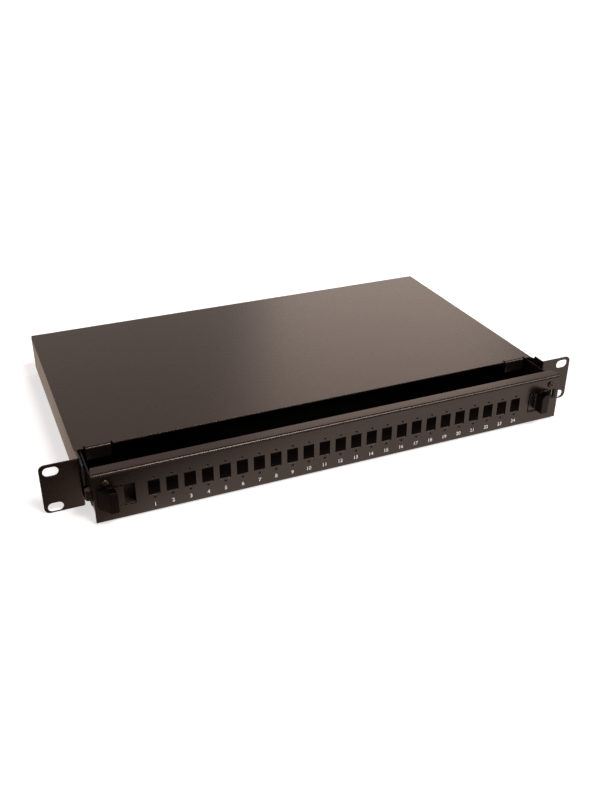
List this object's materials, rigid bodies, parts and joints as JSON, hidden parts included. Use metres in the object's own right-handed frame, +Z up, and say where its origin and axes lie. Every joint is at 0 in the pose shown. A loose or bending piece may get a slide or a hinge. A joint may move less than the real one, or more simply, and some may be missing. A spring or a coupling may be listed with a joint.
{
  "type": "sliding fibre patch panel",
  "caption": "Rack-mount fibre patch panel: a flat steel case with ears and a latched sliding drawer with adapter ports in its front.",
  "frame": {"origin": "bottom centre of the whole part: midway between the ears, midway from the finger tabs to the earth stud's end, at the ears' lower edge", "axes": "+X to the right along the ears as seen from the front, +Y into the rack, +Z up; the ports face -Y"},
  "size_m": [0.4826, 0.2978, 0.0435],
  "materials": {
    "case_paint": "satin dark brown-black powder coat",
    "panel_paint": "satin dark brown-black powder coat",
    "black_plastic": "moulded black plastic",
    "white_plastic": "moulded off-white plastic",
    "smoke_plastic": "thin clear plastic",
    "nylon": "natural grey nylon",
    "rubber": "black rubber",
    "dark_steel": "blackened steel",
    "zinc": "zinc-plated steel",
    "brass": "plain brass"
  },
  "bodies": {
    "chassis": {"chassis_base": "case_paint", "top_cover": "case_paint", "cover_screw_left": "dark_steel", "cover_screw_middle": "dark_steel", "cover_screw_right": "dark_steel", "earth_stud": "zinc", "earth_washer": "zinc", "earth_nut": "brass", "glide_strip_left": "nylon", "glide_strip_right": "nylon", "cable_grommet_left": "rubber", "cable_grommet_right": "rubber", "blanking_plug_left": "rubber", "blanking_plug_right": "rubber"},
    "drawer": {"drawer_tray": "case_paint", "front_panel": "panel_paint", "splice_tray": "white_plastic", "splice_tray_lid": "smoke_plastic", "splice_holder_front": "nylon", "splice_holder_rear": "nylon", "fibre_ring_front_left": "black_plastic", "fibre_ring_front_right": "black_plastic", "fibre_ring_rear_left": "black_plastic", "fibre_ring_rear_right": "black_plastic", "tie_mount_left": "black_plastic", "tie_mount_right": "black_plastic", "tray_stud_left": "zinc", "tray_stud_right": "zinc", "tray_nut_left": "black_plastic", "tray_nut_right": "black_plastic", "panel_screw_left": "dark_steel", "panel_screw_right": "dark_steel", "panel_nut_left": "zinc", "panel_nut_right": "zinc", "drawer_pad_left": "nylon", "drawer_pad_right": "nylon", "latch_housing_left": "black_plastic", "latch_housing_right": "black_plastic"},
    "latch_left": {"latch_slider_left": "panel_paint", "finger_tab_left": "black_plastic"},
    "latch_right": {"latch_slider_right": "panel_paint", "finger_tab_right": "black_plastic"}
  },
  "joints": [
    {"name": "drawer_slide", "type": "slide", "parent": "chassis", "child": "drawer", "axis": [0, 1, 0], "range_m": [-0.1691, 0.0289]},
    {"name": "latch_left_slide", "type": "slide", "parent": "drawer", "child": "latch_left", "axis": [1, 0, 0], "range_m": [0, 0.0074]},
    {"name": "latch_right_slide", "type": "slide", "parent": "drawer", "child": "latch_right", "axis": [1, 0, 0], "range_m": [0, 0.0074]}
  ]
}
